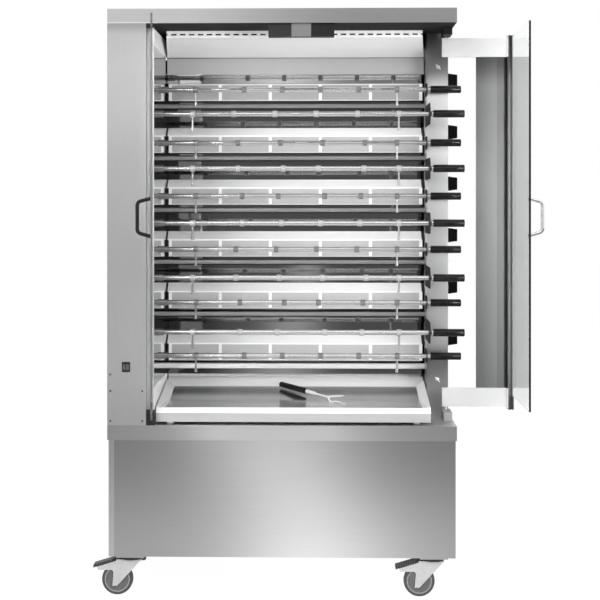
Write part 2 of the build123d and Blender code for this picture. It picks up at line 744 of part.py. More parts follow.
# Gas line: inlet at the back, an upright pipe in the post, and a valve for each burner
def gas_manifold():
    pipe_x = (VALVE_X[0] + VALVE_X[1]) / 2
    valve_d = (KNOB_DEPTH - VALVE_D / 2, KNOB_DEPTH + VALVE_D / 2)
    pipe_d = valve_d[1] + PIPE_R
    inlet_z = FLOOR + INLET_H
    line = rod_z(pipe_x, pipe_d, (inlet_z - 2 * PIPE_R, knob_heights[-1] + PIPE_R), PIPE_R)
    line += rod_y(pipe_x, (pipe_d, CABINET_D), inlet_z, INLET_R - SHEET)
    line += rod_y(pipe_x, (CABINET_D, CABINET_D + INLET_OUT), inlet_z, INLET_R)
    for height in rear_heights:
        knob_z = height + KNOB_RISE
        feed_z = height - FEED_TUBE_DROP
        line += block(VALVE_X, valve_d, (knob_z - VALVE_W / 2, knob_z + VALVE_W / 2))
        line += rod_y(pipe_x, (valve_d[1] - FEED_R, pipe_d), knob_z, FEED_R)
        line += rod_z(pipe_x, FEED_DEPTH, (feed_z - 2 * FEED_R, knob_z + 2 * FEED_R), FEED_R + SLIP)
        line += rod_y(pipe_x, (FEED_DEPTH, valve_d[0] + FEED_R), knob_z, FEED_R)
        line += rod_x((WALL_RIGHT, pipe_x), FEED_DEPTH, feed_z, FEED_R)
    return line


def gas_knob(height):
    """Round base with a tapered bar to grip, on a stem that goes into its valve."""
    start = POST_RIGHT + SLIP
    end = start + KNOB_L
    base = rod_x((start, start + KNOB_BASE), KNOB_DEPTH, height, KNOB_R)
    grip = profile_y(
        (KNOB_DEPTH - KNOB_GRIP_W / 2, KNOB_DEPTH + KNOB_GRIP_W / 2),
        [(start + KNOB_BASE, height - KNOB_R + SHEET), (start + KNOB_BASE, height + KNOB_R - SHEET),
         (end, height + KNOB_TIP_R), (end, height - KNOB_TIP_R)],
    )
    return base + grip + rod_x((VALVE_X[1] + SLIP, start), KNOB_DEPTH, height, STEM_R)


save("gas_manifold", gas_manifold())
for number, height in enumerate(reversed(knob_heights), start=1):
    save(f"gas_knob_{number}", gas_knob(height))


# Back panel, with an opening for the gas inlet and vents behind the hood
def back_panel():
    panel = block((LEFT, RIGHT), (CABINET_D - SHEET, CABINET_D), (FLOOR, ROOF))
    pipe_x = (VALVE_X[0] + VALVE_X[1]) / 2
    through = (CABINET_D - SHEET, CABINET_D)
    panel -= rod_y(pipe_x, through, FLOOR + INLET_H, INLET_R + SHEET)
    step = CHAMBER_W / HOOD_SLOTS
    for i in range(HOOD_SLOTS):
        middle = WALL_LEFT + (i + 0.5) * step
        panel -= block((middle - HOOD_SLOT_H / 2, middle + HOOD_SLOT_H / 2), through,
                       (ROOF - HOOD_DROP / 2, ROOF - HOOD_SLOPE / 2))
    return panel


save("back_panel", back_panel())


# Canopy: a folded top tray, closed below by a flat plate
def canopy():
    shell = block((LEFT, RIGHT), (0, CABINET_D), (ROOF, TOP))
    shell -= block((LEFT + SHEET, RIGHT - SHEET), (SHEET, CABINET_D - SHEET), (ROOF, TOP - SHEET))
    shell = fillet(shell.edges().filter_by(Axis.X).group_by(Axis.Z)[-1].group_by(Axis.Y)[0], SHEET / 2)
    plate = block((LEFT + SHEET, RIGHT - SHEET), (SHEET, CABINET_D - SHEET), (ROOF, ROOF + SHEET))
    return [shell, plate]


save("canopy", *canopy())


# Doors: the left one is a flat pane, the right one also turns the corner of the cabinet
LEFT_HINGE = (WALL_LEFT - HINGE_X_LEFT, DOOR_PLANE)
RIGHT_HINGE = (RIGHT - HINGE_X_RIGHT, DOOR_PLANE + SIDE_RETURN)
MEETING_X = (LEFT_HINGE[0] + RIGHT_HINGE[0]) / 2
GLASS_Z = (FLOOR + GLASS_BOTTOM_GAP, ROOF - GLASS_TOP_GAP)
GLASS_D = (DOOR_PLANE - GLASS_T / 2, DOOR_PLANE + GLASS_T / 2)
RAIL_TOP = ROOF - RAIL_TOP_GAP
RAIL_BOTTOM = FLOOR + RAIL_BOTTOM_GAP
LEFT_BLOCK_H = RAIL_BOTTOM_GAP + SHEET * 6


def swung(shape, hinge, angle):
    """The closed door's piece, turned about its upright hinge to where it stands."""
    return shape.rotate(Axis((hinge[0], deep(hinge[1]), 0), (0, 0, 1)), angle)


def door_handle(x):
    """Bowed bar on the outer face of a closed pane, with its ends on the glass."""
    middle = FLOOR + HANDLE_Z
    half = HANDLE_H / 2 - HANDLE_R
    face = deep(GLASS_D[0])
    out = face - HANDLE_OUT + HANDLE_R
    path = FilletPolyline(
        (x, face + GLASS_T, middle - half), (x, out, middle - half + HANDLE_SPLAY),
        (x, out, middle + half - HANDLE_SPLAY), (x, face + GLASS_T, middle + half),
        radius=HANDLE_BEND,
    )
    bar = sweep(Plane(origin=path @ 0, z_dir=path % 0) * Circle(HANDLE_R), path=path)
    return bar - block((x - GRIP_L, x + GRIP_L), (GLASS_D[0], GLASS_D[0] + GRIP_L),
                       (middle - HANDLE_H, middle + HANDLE_H))


def left_door():
    """Pivot stile with a slot for the pane, the pane, and its handle."""
    x, d = LEFT_HINGE
    stile_x = (x - STILE_W / 2 + PIN_R, x + STILE_W / 2 + PIN_R)
    stile_z = (FLOOR + LEFT_BLOCK_H + SHEET, ROOF - HINGE_BLOCK / 2 - SHEET)
    stile = block(stile_x, (d - STILE_T / 2, d + STILE_T / 2), stile_z)
    stile -= block((stile_x[1] - GLASS_BITE, stile_x[1]), GLASS_D, stile_z)
    stile += rod_z(x, d, (stile_z[0] - PIN_ENGAGE, stile_z[0]), PIN_R)
    stile += rod_z(x, d, (stile_z[1], stile_z[1] + PIN_ENGAGE), PIN_R)
    edge = MEETING_X - DOOR_GAP / 2
    pane = block((stile_x[1] - GLASS_BITE, edge), GLASS_D, GLASS_Z)
    return stile, pane, door_handle(edge - HANDLE_EDGE)


def right_door():
    """Side frame with rails, a strip and a corner stile, the pane, and its handle."""
    x, d = RIGHT_HINGE
    side_x = (x - RAIL_T / 2, x + RAIL_T / 2)
    stile_d = (DOOR_PLANE - STILE_W / 2 + SHEET, DOOR_PLANE + STILE_W / 2 + SHEET * 2)
    stile_z = (RAIL_BOTTOM - STILE_OVERRUN, RAIL_TOP + STILE_OVERRUN)
    stile = block((side_x[0] - GLASS_BITE, side_x[1]), stile_d, stile_z)
    stile -= block((side_x[0] - GLASS_BITE, side_x[0]), GLASS_D, stile_z)
    rail_d = (stile_d[1], d + RAIL_OVERRUN)
    top = block(side_x, rail_d, (RAIL_TOP - RAIL_H, RAIL_TOP))
    top += rod_z(x, d, (RAIL_TOP, RAIL_TOP + PIN_ENGAGE), PIN_R)
    bottom = block(side_x, rail_d, (RAIL_BOTTOM, RAIL_BOTTOM + RAIL_H))
    bottom += rod_z(x, d, (RAIL_BOTTOM - PIN_ENGAGE - STILE_OVERRUN, RAIL_BOTTOM), PIN_R)
    strip = block((side_x[1] - SHEET, side_x[1]), (stile_d[1], d - SIDE_GAP),
                  (RAIL_BOTTOM + RAIL_H, RAIL_TOP - RAIL_H))
    edge = MEETING_X + DOOR_GAP / 2
    pane = block((edge, side_x[0]), GLASS_D, GLASS_Z)
    return [stile, top, bottom, strip], pane, door_handle(edge + HANDLE_EDGE)


def door_hardware():
    """Hinge blocks above and below each door, and the magnetic catch where the doors meet."""
    x, d = LEFT_HINGE
    left_x = (COLUMN_EDGE, x + PIN_R + HINGE_WALL)
    left_d = (0, LINER_START - SHEET)
    bore = PIN_R + FIT
    blocks = [
        block(left_x, left_d, z) - rod_z(x, d, z, bore)
        for z in ((FLOOR, FLOOR + LEFT_BLOCK_H), (ROOF - HINGE_BLOCK / 2, ROOF))
    ]
    x, d = RIGHT_HINGE
    half = HINGE_BLOCK / 2
    for z in ((FLOOR, RAIL_BOTTOM - STILE_OVERRUN), (RAIL_TOP + SHEET * 2, ROOF)):
        bar = block((x - half, x + half), (d + half - HINGE_BLOCK_L, d + half), z)
        blocks.append(bar - rod_z(x, d, z, bore))
    magnet_d = GLASS_D[1] + SLIP
    plate_d = magnet_d + MAGNET_T
    box_d = plate_d + SHEET
    catch_z = (ROOF - CATCH_H, ROOF)
    half = CATCH_W / 2
    box = block((MEETING_X - half, MEETING_X + half), (box_d, box_d + CATCH_D), catch_z)
    half = CATCH_PLATE_W / 2
    plate = block((MEETING_X - half, MEETING_X + half), (plate_d, box_d), catch_z)
    magnets = [
        rod_y(MEETING_X + side * MAGNET_GAP / 2, (magnet_d, plate_d), catch_z[0] + 2 * MAGNET_R, MAGNET_R)
        for side in (-1, 1)
    ]
    return blocks + [box, plate] + magnets


save("door_hardware", *door_hardware())
stile, pane, handle = left_door()
save("left_door_frame", swung(stile, LEFT_HINGE, -LEFT_OPEN_ANGLE))
save("left_door_glass", swung(pane, LEFT_HINGE, -LEFT_OPEN_ANGLE))
save("left_door_handle", swung(handle, LEFT_HINGE, -LEFT_OPEN_ANGLE))
frame, pane, handle = right_door()
save("right_door_frame", *[swung(piece, RIGHT_HINGE, RIGHT_OPEN_ANGLE) for piece in frame])
save("right_door_glass", swung(pane, RIGHT_HINGE, RIGHT_OPEN_ANGLE))
save("right_door_handle", swung(handle, RIGHT_HINGE, RIGHT_OPEN_ANGLE))


# Drip tray: a folded pan that drains to the front, with sloping sides and a turned-down lip
TRAY_X = (WALL_LEFT + TRAY_GAP, WALL_RIGHT - TRAY_GAP)
TRAY_Z = FLOOR + TRAY_FLOOR_Z
TRAY_BACK = BACK_WALL - TRAY_BACK_GAP
TRAY_RIM = TRAY_Z + TRAY_RISE + TRAY_BACK_RISE


def tray_side(x, inward):
    """Sloping side sheet, from the rim down to the floor, widest near the back."""
    lip_end = TRAY_FRONT + TRAY_LIP_D
    fall = (TRAY_RIM - TRAY_Z - TRAY_SIDE_FRONT_H) / (TRAY_BACK - lip_end)

    def section(depth, width, bottom):
        rim = TRAY_RIM - fall * (TRAY_BACK - depth)
        outline = Polygon((x, rim), (x + inward * width, bottom), (x + inward * width, bottom - SHEET),
                          (x, bottom - SHEET), align=None)
        return Plane.XZ.offset(-deep(depth)) * outline

    stations = [
        section(lip_end, TRAY_SIDE_FRONT, TRAY_Z),
        section(TRAY_FLAT, (TRAY_SIDE_FRONT + TRAY_SIDE_BACK) / 2, TRAY_Z),
        section(TRAY_RISE_END, TRAY_SIDE_BACK, TRAY_Z + TRAY_RISE),
    ]
    return [loft(pair, ruled=True) for pair in zip(stations, stations[1:])]


def drip_tray():
    lip_top = TRAY_Z - TRAY_LIP_H
    pan = bent_sheet(TRAY_X, [
        (TRAY_FRONT, lip_top), (TRAY_FRONT + TRAY_LIP_D, TRAY_Z), (TRAY_FLAT, TRAY_Z),
        (TRAY_RISE_END, TRAY_Z + TRAY_RISE), (TRAY_BACK, TRAY_RIM),
    ])
    pan += block(TRAY_X, (TRAY_FRONT, TRAY_FRONT + SHEET), (FLOOR + TRAY_LIP_Z, lip_top))
    for x, inward in ((TRAY_X[0], 1), (TRAY_X[1], -1)):
        for side in tray_side(x, inward):
            pan += side
    return pan


save("drip_tray", drip_tray())


# Serving fork: a round handle, a collar and two prongs, leaning in the tray
def serving_fork():
    along = Rot(0, 90, 0)
    handle = Pos(FORK_HANDLE_L / 2, 0, 0) * along * Cylinder(FORK_HANDLE_R, FORK_HANDLE_L)
    collar_end = FORK_HANDLE_L + FORK_COLLAR_L
    collar_middle = FORK_HANDLE_L + FORK_COLLAR_L / 2
    collar = Pos(collar_middle, 0, 0) * along * Cylinder(FORK_COLLAR_R, FORK_COLLAR_L)
    for side in (-1, 1):
        prong = Pos(FORK_PRONG_L / 2, 0, 0) * along * Cylinder(FORK_PRONG_R, FORK_PRONG_L)
        collar += Pos(collar_end - FORK_COLLAR_R, 0, 0) * Rot(0, 0, side * FORK_PRONG_ANGLE) * prong
    depth = TRAY_RISE_END - FORK_BACK
    slope = TRAY_RISE / (TRAY_RISE_END - TRAY_FLAT)
    height = TRAY_Z + slope * (depth - TRAY_FLAT) + FORK_HANDLE_R + FORK_RISE
    lean = Rot(0, 0, FORK_TURN) * Rot(0, FORK_TILT, 0) * Rot(FORK_ROLL, 0, 0)
    place = Pos(FORK_X, deep(depth), height) * lean
    return place * handle, place * collar


save("serving_fork", *serving_fork())


# Spits: a rod from a driven socket to a grip, with sliding forks clamped along it
SOCKET_END = WALL_LEFT + SOCKET_OUT
FERRULE_START = WALL_RIGHT + SHEET


def fork_places(number):
    """Forks stand at even steps, each nudged a little because they are clamped by hand."""
    first = SOCKET_END + FORK_MARGIN
    last = WALL_RIGHT - FORK_END_MARGIN
    step = (last - first) / (FORKS_PER_SPIT - 1)
    return [
        first + i * step + FORK_SHIFT * ((3 * i + 5 * number + i * number) % 5 - 2)
        for i in range(FORKS_PER_SPIT)
    ]


def spit_fork(x, depth, height, facing):
    """Hub on the rod with two tines along it."""
    hub = block((x - HUB_L / 2, x + HUB_L / 2), (depth - HUB_W / 2, depth + HUB_W / 2),
                (height - HUB_H / 2, height + HUB_H / 2))
    start = x + facing * (HUB_L / 2 - SHEET)
    end = x + facing * (HUB_L / 2 + TINE_L)
    for side in (-1, 1):
        hub += rod_x(sorted((start, end)), depth + side * TINE_OFFSET, height, TINE_R)
    return hub - rod_x((x - HUB_L, x + HUB_L), depth, height, ROD_R)


def clamp_screw(x, depth, height):
    """Long screw that hangs below the hub of an end fork."""
    tip = height - HUB_H / 2 - SCREW_L
    screw = rod_z(x, depth, (tip, height - HUB_H / 2), SCREW_R)
    return screw + rod_z(x, depth, (tip, tip + SCREW_TIP_L), SCREW_TIP_R)


def spit(number, depth, height):
    sprocket_x = (SPROCKET_X - SPROCKET_W / 2, SPROCKET_X + SPROCKET_W / 2)
    socket = rod_x((sprocket_x[0], SOCKET_END), depth, height, SOCKET_R)
    sprocket = rod_x(sprocket_x, depth, height, SPROCKET_R) - rod_x(sprocket_x, depth, height, SOCKET_R)
    rod = rod_x((SOCKET_END, FERRULE_START), depth, height, ROD_R)
    ferrule = rod_x((FERRULE_START, FERRULE_START + FERRULE_L), depth, height, FERRULE_R)
    places = fork_places(number)
    forks = [
        spit_fork(x, depth, height, 1 if i % 2 == 0 else -1) for i, x in enumerate(places)
    ]
    screws = [clamp_screw(x, depth, height) for x in (places[0], places[-1])]
    return [socket, sprocket, rod, ferrule] + forks + screws


def spit_handle(depth, height):
    start = FERRULE_START + FERRULE_L
    grip = rod_x((start, start + GRIP_L), depth, height, GRIP_R)
    return fillet(grip.edges().filter_by(GeomType.CIRCLE), GRIP_ROUND)


for number, (height, depth) in enumerate(spit_places, start=1):
    save(f"spit_{number:02d}", *spit(number, depth, height))
    save(f"spit_{number:02d}_handle", spit_handle(depth, height))
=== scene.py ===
"""Looks of a floor-standing gas rotisserie cabinet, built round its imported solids."""
import math

import bpy
import numpy as np
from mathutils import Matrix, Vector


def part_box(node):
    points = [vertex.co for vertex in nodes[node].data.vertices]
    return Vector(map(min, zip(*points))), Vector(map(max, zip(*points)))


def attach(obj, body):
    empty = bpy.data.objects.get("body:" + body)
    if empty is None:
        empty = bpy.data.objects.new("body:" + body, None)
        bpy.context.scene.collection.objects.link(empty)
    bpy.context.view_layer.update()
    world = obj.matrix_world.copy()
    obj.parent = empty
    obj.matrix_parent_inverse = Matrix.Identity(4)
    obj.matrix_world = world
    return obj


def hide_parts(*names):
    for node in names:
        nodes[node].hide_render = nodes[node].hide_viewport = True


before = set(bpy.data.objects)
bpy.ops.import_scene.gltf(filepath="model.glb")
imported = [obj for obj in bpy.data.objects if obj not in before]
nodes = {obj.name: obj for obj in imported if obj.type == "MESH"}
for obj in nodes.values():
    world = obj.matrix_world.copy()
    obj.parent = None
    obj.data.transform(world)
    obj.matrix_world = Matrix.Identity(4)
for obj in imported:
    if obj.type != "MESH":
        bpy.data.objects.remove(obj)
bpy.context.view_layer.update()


# Studio: a pale floor that runs into a white surround. Two soft lamps stand at the upper left and
# the right, a narrow one overhead gives the glints, and the room behind the camera is dark.
class Tone:
    """A shader socket that takes part in sums: operators add Math nodes, node() adds any other."""

    def __init__(self, tree, socket=None):
        self.tree = tree
        self.socket = socket

    def node(self, kind, sockets=None, out=0, **settings):
        """New node of a type, with its settings and the values or links of its sockets."""
        made = self.tree.nodes.new("ShaderNode" + kind)
        for name, value in settings.items():
            setattr(made, name, value)
        for name, value in (sockets or {}).items():
            if isinstance(value, Tone):
                self.tree.links.new(value.socket, made.inputs[name])
            else:
                made.inputs[name].default_value = value
        return Tone(self.tree, made.outputs[out])

    def feed(self, socket):
        """Link this value to a shader's socket."""
        self.tree.links.new(self.socket, socket)

    def maths(self, operation, first, second=0.0):
        return self.node("Math", {0: first, 1: second}, operation=operation)

    def __add__(self, other):
        return self.maths("ADD", self, other)

    def __sub__(self, other):
        return self.maths("SUBTRACT", self, other)

    def __rsub__(self, other):
        return self.maths("SUBTRACT", other, self)

    def __mul__(self, other):
        return self.maths("MULTIPLY", self, other)

    def __gt__(self, other):
        return self.maths("GREATER_THAN", self, other)

    def __lt__(self, other):
        return self.maths("LESS_THAN", self, other)

    __radd__ = __add__
    __rmul__ = __mul__

    def axis(self, name):
        """One coordinate of a vector."""
        return self.node("SeparateXYZ", {0: self}, out=name)

    def ramp(self, low, high, dark, light):
        """Smooth rise from dark to light while the value goes from low to high."""
        return self.node("MapRange", {"Value": self, "From Min": low, "From Max": high, "To Min": dark,
                                      "To Max": light}, interpolation_type="SMOOTHSTEP")

    def bell(self):
        """Two to the power of minus the value squared: 1 at nought, a half at 1 either way."""
        return self.maths("POWER", 2.0, -1 * self * self)


room = bpy.data.worlds.new("room")
bpy.context.scene.world = room
room.use_nodes = True
room_light = room.node_tree.nodes["Background"]
way = Tone(room.node_tree).node("TexCoord", out="Generated")
camera_path = Tone(room.node_tree).node("LightPath", out="Is Camera Ray")
glossy_path = Tone(room.node_tree).node("LightPath", out="Is Glossy Ray")
through_path = Tone(room.node_tree).node("LightPath", out="Is Transmission Ray")
dark_core, dark_rim = 0.12, 0.19
side_away = way.maths("ABSOLUTE", way.axis("X") - 0.06)
height_away = way.maths("ABSOLUTE", way.axis("Z") + 0.01)
dark_side = side_away.ramp(dark_core, dark_rim, 1.0, 0.0) * height_away.ramp(dark_core, dark_rim, 1.0, 0.0)
dark_side = dark_side * (way.axis("Y") < 0)
seen_in_metal = glossy_path * (1 - 0.86 * dark_side)
fill = (1 - glossy_path) * (1 - camera_path) * (1 - through_path)
clear = camera_path.maths("MAXIMUM", camera_path, through_path)
(clear + seen_in_metal * (1 - clear) + 0.55 * fill).feed(room_light.inputs["Strength"])
room_light.inputs["Color"].default_value = (1, 1, 1, 1)

for name, stand, aim, size, watts, glint in (
    ("upper_left_lamp", (-2.0, -4.6, 3.0), (0, 0, 1.0), (2.2, 2.2), 250, False),
    ("right_lamp", (2.6, -4.2, 1.4), (0.2, 0, 0.9), (1.6, 1.6), 130, False),
    ("strip_lamp", (0.4, -3.0, 3.4), (0.4, 0, 1.2), (7.0, 0.3), 16, True),
):
    lamp = bpy.data.objects.new(name, bpy.data.lights.new(name, "AREA"))
    lamp.data.energy = watts
    lamp.data.shape = "RECTANGLE"
    lamp.data.size, lamp.data.size_y = size
    lamp.location = stand
    lamp.visible_glossy = glint
    back = np.array(stand) - np.array(aim)
    lamp.rotation_euler = (
        math.acos(back[2] / np.linalg.norm(back)), 0, math.atan2(back[0], -back[1])
    )
    bpy.context.collection.objects.link(lamp)

eye = bpy.data.objects.new("camera", bpy.data.cameras.new("camera"))
bpy.context.collection.objects.link(eye)
eye.location = (0.12939, -5.290, 1.25236)
eye.rotation_euler = (math.radians(90), 0, math.radians(1.5276))
eye.data.lens = 93.79
eye.data.sensor_width = 36
eye.data.shift_x = 0.0328
eye.data.shift_y = -0.155
bpy.context.scene.camera = eye
bpy.context.scene.view_settings.view_transform = "Standard"

floor_reach = 30.0
floor_corners = np.array([(-1, -1, 0), (1, -1, 0), (1, 1, 0), (-1, 1, 0)]) * floor_reach
floor_mesh = bpy.data.meshes.new("floor")
floor_mesh.from_pydata(floor_corners.tolist(), [], [(0, 1, 2, 3)])
floor = bpy.data.objects.new("floor", floor_mesh)
bpy.context.collection.objects.link(floor)
floor_paint = bpy.data.materials.new("floor_paint")
floor_paint.use_nodes = True
tree = floor_paint.node_tree
floor_coat = tree.nodes["Principled BSDF"]
floor_coat.inputs["Base Color"].default_value = (0.86, 0.86, 0.86, 1)
floor_coat.inputs["Roughness"].default_value = 0.9
glow = tree.nodes.new("ShaderNodeEmission")
blend = tree.nodes.new("ShaderNodeMixShader")
seen = Tone(tree).node("LightPath", out="Is Camera Ray")
mirrored = Tone(tree).node("LightPath", out="Is Glossy Ray")
passed = Tone(tree).node("LightPath", out="Is Transmission Ray")
spot = Tone(tree).node("TexCoord", out="Object")
cabinet_front = -0.286
# In reflections the floor glows with a painted pool of light in front of the cabinet, which paints a
# highlight on the base; the camera sees the floor nearly white.
ahead = (cabinet_front - spot.axis("Y")).ramp(0.0, 5.0, 0.0, 1.0)
painted_light_pool = ((spot.axis("X") - 0.12 + 0.3 * ahead) * (1 / 0.26)).bell()
shine = (0.50 - 0.36 * ahead) + (0.52 - 0.10 * ahead) * painted_light_pool
unseen = 1 - seen.maths("MAXIMUM", seen, passed)
(1.08 * (1 - unseen) + shine * unseen * mirrored).feed(glow.inputs["Strength"])
(0.88 * (1 - unseen) + mirrored * unseen).feed(blend.inputs[0])
tree.links.new(floor_coat.outputs[0], blend.inputs[1])
tree.links.new(glow.outputs[0], blend.inputs[2])
tree.links.new(blend.outputs[0], tree.nodes["Material Output"].inputs["Surface"])
floor_mesh.materials.append(floor_paint)


# Base cabinet: plain panels of satin stainless sheet under a deep folded collar. The grain
# runs level and the sheet is a little uneven; the shine that wanders over it is painted sheen.
def finish(name, metallic, roughness):
    """New node material: returns it, its shader's sockets and the surface's Object coordinates."""
    made = bpy.data.materials.new(name)
    made.use_nodes = True
    shader = made.node_tree.nodes["Principled BSDF"]
    shader.inputs["Metallic"].default_value = metallic
    shader.inputs["Roughness"].default_value = roughness
    return made, shader.inputs, Tone(made.node_tree).node("TexCoord", out="Object")


def grain(place, stretch, detail=3.0):
    """Fine noise stretched along the way that the sheet was brushed."""
    stretched = place.node("Mapping", {"Vector": place, "Scale": stretch})
    return place.node("TexNoise", {"Vector": stretched, "Scale": 1.0, "Detail": detail}, out="Fac")


def shades(value, dark, light):
    """Colour between two greys, by a value from 0 to 1."""
    return value.node("Mix", {"Factor": value, "A": (dark, dark, dark, 1), "B": (light, light, light, 1)},
                      out="Result", data_type="RGBA")


def relief(height, strength, depth, sockets):
    """Slight unevenness: a bump that lifts the surface where the height value is large."""
    bump = height.node("Bump", {"Strength": strength, "Distance": depth, "Height": height})
    bump.feed(sockets["Normal"])


def satin_steel(name, stretch, tone):
    """Brushed stainless: fine grain in the shine, and a grey from the given tone, which on most sheets is
    painted light and shade.
    """
    made, sockets, place = finish(name, 1.0, 0.34)
    brushed = grain(place, stretch)
    shades(tone(place) * (0.93 + 0.14 * brushed), 0.0, 1.0).feed(sockets["Base Color"])
    (0.28 + 0.14 * brushed).feed(sockets["Roughness"])
    relief(brushed, 0.03, 0.001, sockets)
    return made


def paint(material, *names):
    """Give each of these solids one material."""
    for name in names:
        slots = nodes[name].data.materials
        slots.clear()
        slots.append(material)


collar_foot, left_fold = 0.5035, -0.538
level_grain = (6, 6, 900)


def base_painted_sheen(place):
    """Painted sheen on the panels: paler low down, past the left fold and on the collar, with a painted
    highlight in a band by the middle.
    """
    x, z = place.axis("X"), place.axis("Z")
    low = z.ramp(0.505, 0.13, 0, 1)
    painted_ridge_highlight = ((x + 0.02 - 0.1 * low) * (1 / 0.22)).bell()
    collar = z > collar_foot
    folded = (x < left_fold) * (1 - collar)
    sheet = 0.44 + 0.25 * low + (0.52 - 0.24 * low) * painted_ridge_highlight + 0.2 * folded
    return sheet * (1 + 0.3 * collar)


paint(satin_steel("level_satin_steel", level_grain, base_painted_sheen), "base_cabinet")


# Castors: dark rubber tyres on grey moulded wheels in zinc-plated pressed forks. The front
# pair swivel under black heads, and a black moulded pedal on each one works its brake.
def turned(start, axis, profile, sides=28):
    """Surface of revolution: a circle of radius r at distance s along the axis, for each (s, r)."""
    along = np.array(axis, float)
    side = np.cross(along, (0.0, 0.0, 1.0) if abs(along[2]) < 0.5 else (1.0, 0.0, 0.0))
    angle = np.linspace(0, 2 * np.pi, sides, endpoint=False)[:, None]
    circle = np.cos(angle) * side + np.sin(angle) * np.cross(along, side)
    s, r = np.array(profile, float).T[:, :, None, None]
    return np.array(start, float) + s * along + r * circle


def loft(name, material, body, *skins):
    """One piece from closed skins, each an array of rings of points. Neighbouring rings are
    joined by quads, the end rings are closed flat, and a skin that is inside out is turned."""
    points, faces, count = [], [], 0
    for rings in skins:
        middle = rings.mean(axis=(0, 1))
        edge = np.roll(rings, -1, axis=1) - rings
        onward = np.gradient(rings, axis=0)
        if (np.cross(edge, onward) * (rings - middle)).sum() < 0:
            rings = rings[:, ::-1]
        index = count + np.arange(rings.shape[0] * rings.shape[1]).reshape(rings.shape[:2])
        near = np.roll(index, -1, axis=1)
        quads = np.stack([index[:-1], near[:-1], near[1:], index[1:]], axis=-1).reshape(-1, 4)
        faces += quads.tolist() + [index[0, ::-1].tolist(), index[-1].tolist()]
        points.append(rings.reshape(-1, 3))
        count += index.size
    mesh = bpy.data.meshes.new(name)
    mesh.from_pydata(np.concatenate(points).tolist(), [], faces)
    mesh.shade_smooth()
    mesh.set_sharp_from_angle(angle=math.radians(35))
    mesh.materials.append(material)
    piece = bpy.data.objects.new(name, mesh)
    bpy.context.collection.objects.link(piece)
    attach(piece, body)
    return piece


def within(value, low, high):
    """1 where a value lies between two limits."""
    return (value > low) * (value < high)


tyre, sockets, place = finish("castor_rubber", 0.0, 0.6)
shades(grain(place, (160, 160, 160)), 0.03, 0.07).feed(sockets["Base Color"])
rim, sockets, place = finish("castor_rim", 0.0, 0.5)
shades(grain(place, (200, 200, 200)), 0.20, 0.28).feed(sockets["Base Color"])
disc, sockets, place = finish("castor_disc", 0.0, 0.45)
shades(grain(place, (25, 25, 25)), 0.06, 0.11).feed(sockets["Base Color"])
tyre_half_width = 0.016
tyre_profile = [(-0.8, 0.78), (-1, 0.82), (-1, 0.95), (-0.85, 0.985), (-0.5, 1),
                (0.5, 1), (0.85, 0.985), (1, 0.95), (1, 0.82), (0.8, 0.78)]
rim_profile = [(-0.9, 0.73), (-0.94, 0.75), (-0.94, 0.81), (0.94, 0.81), (0.94, 0.75), (0.9, 0.73)]
disc_profile = [(-0.98, 0.05), (-0.98, 0.3), (-0.93, 0.34), (-0.93, 0.7), (-0.95, 0.75),
                (0.95, 0.75), (0.93, 0.7), (0.93, 0.34), (0.98, 0.3), (0.98, 0.05)]
for wheel in ("front_left", "front_right", "rear_left", "rear_right"):
    low, high = (np.array(corner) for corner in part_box("castor_wheel_" + wheel))
    centre = (low + high) / 2
    axle = (0, 1, 0) if wheel.startswith("front") else (1, 0, 0)
    scale = (tyre_half_width, (high - low)[2] / 2)
    worn_tyre = loft("castor_tyre_" + wheel, tyre, "castor_wheel_" + wheel,
                     turned(centre, axle, np.array(tyre_profile) * scale, 48))
    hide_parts("castor_wheel_" + wheel)
    for name, moulding, profile in (("rim", rim, rim_profile), ("disc", disc, disc_profile)):
        part = loft(f"castor_{name}_{wheel}", moulding, "castor_wheel_" + wheel,
                    turned(centre, axle, np.array(profile) * scale, 48))
zinc, sockets, place = finish("zinc_plate", 1.0, 0.3)
swivel_head_foot = 0.1152
spangle = grain(place, (90, 90, 90))
head = place.axis("Z") > swivel_head_foot
shades((1 - head) * (0.52 + 0.12 * spangle) + 0.02, 0.0, 1.0).feed(sockets["Base Color"])
(0.34 + 0.16 * spangle).feed(sockets["Roughness"])
(0.6 - 0.6 * head).feed(sockets["Metallic"])
paint(zinc, "castor_fork_front_left", "castor_fork_front_right")
plated, sockets, place = finish("rear_zinc_plate", 1.0, 0.3)
shades(grain(place, (90, 90, 90)), 0.78, 0.92).feed(sockets["Base Color"])
paint(plated, "rear_castor_forks")
pedal, sockets, place = finish("pedal_tread", 0.0, 0.5)
ribs_per_metre = 130
rib = within(place.maths("FRACT", place.axis("X") * ribs_per_metre), 0.3, 0.62)
shades(0.015 + 0.10 * rib * grain(place, (300, 300, 300)), 0.0, 1.0).feed(sockets["Base Color"])
relief(rib, 0.5, 0.001, sockets)
paint(pedal, "brake_pedal_left", "brake_pedal_right")


# Left column: a folded casing of satin stainless with an upright grain, closed by small dome
# headed screws. It hides the gear motor and the chain that turn the spits.
def column_tone(place):
    """Grey of the casing: a painted sheen makes it a little paler high up and low down, and painted shade
    darkens it under the canopy.
    """
    height = place.axis("Z")
    upper = 0.06 * height.ramp(1.35, 1.6, 0, 1) * height.ramp(1.80, 1.68, 0, 1)
    shade = 0.22 * height.ramp(1.80, 1.84, 0, 1)
    return 0.70 + upper + 0.08 * height.ramp(1.1, 0.8, 0, 1) - shade


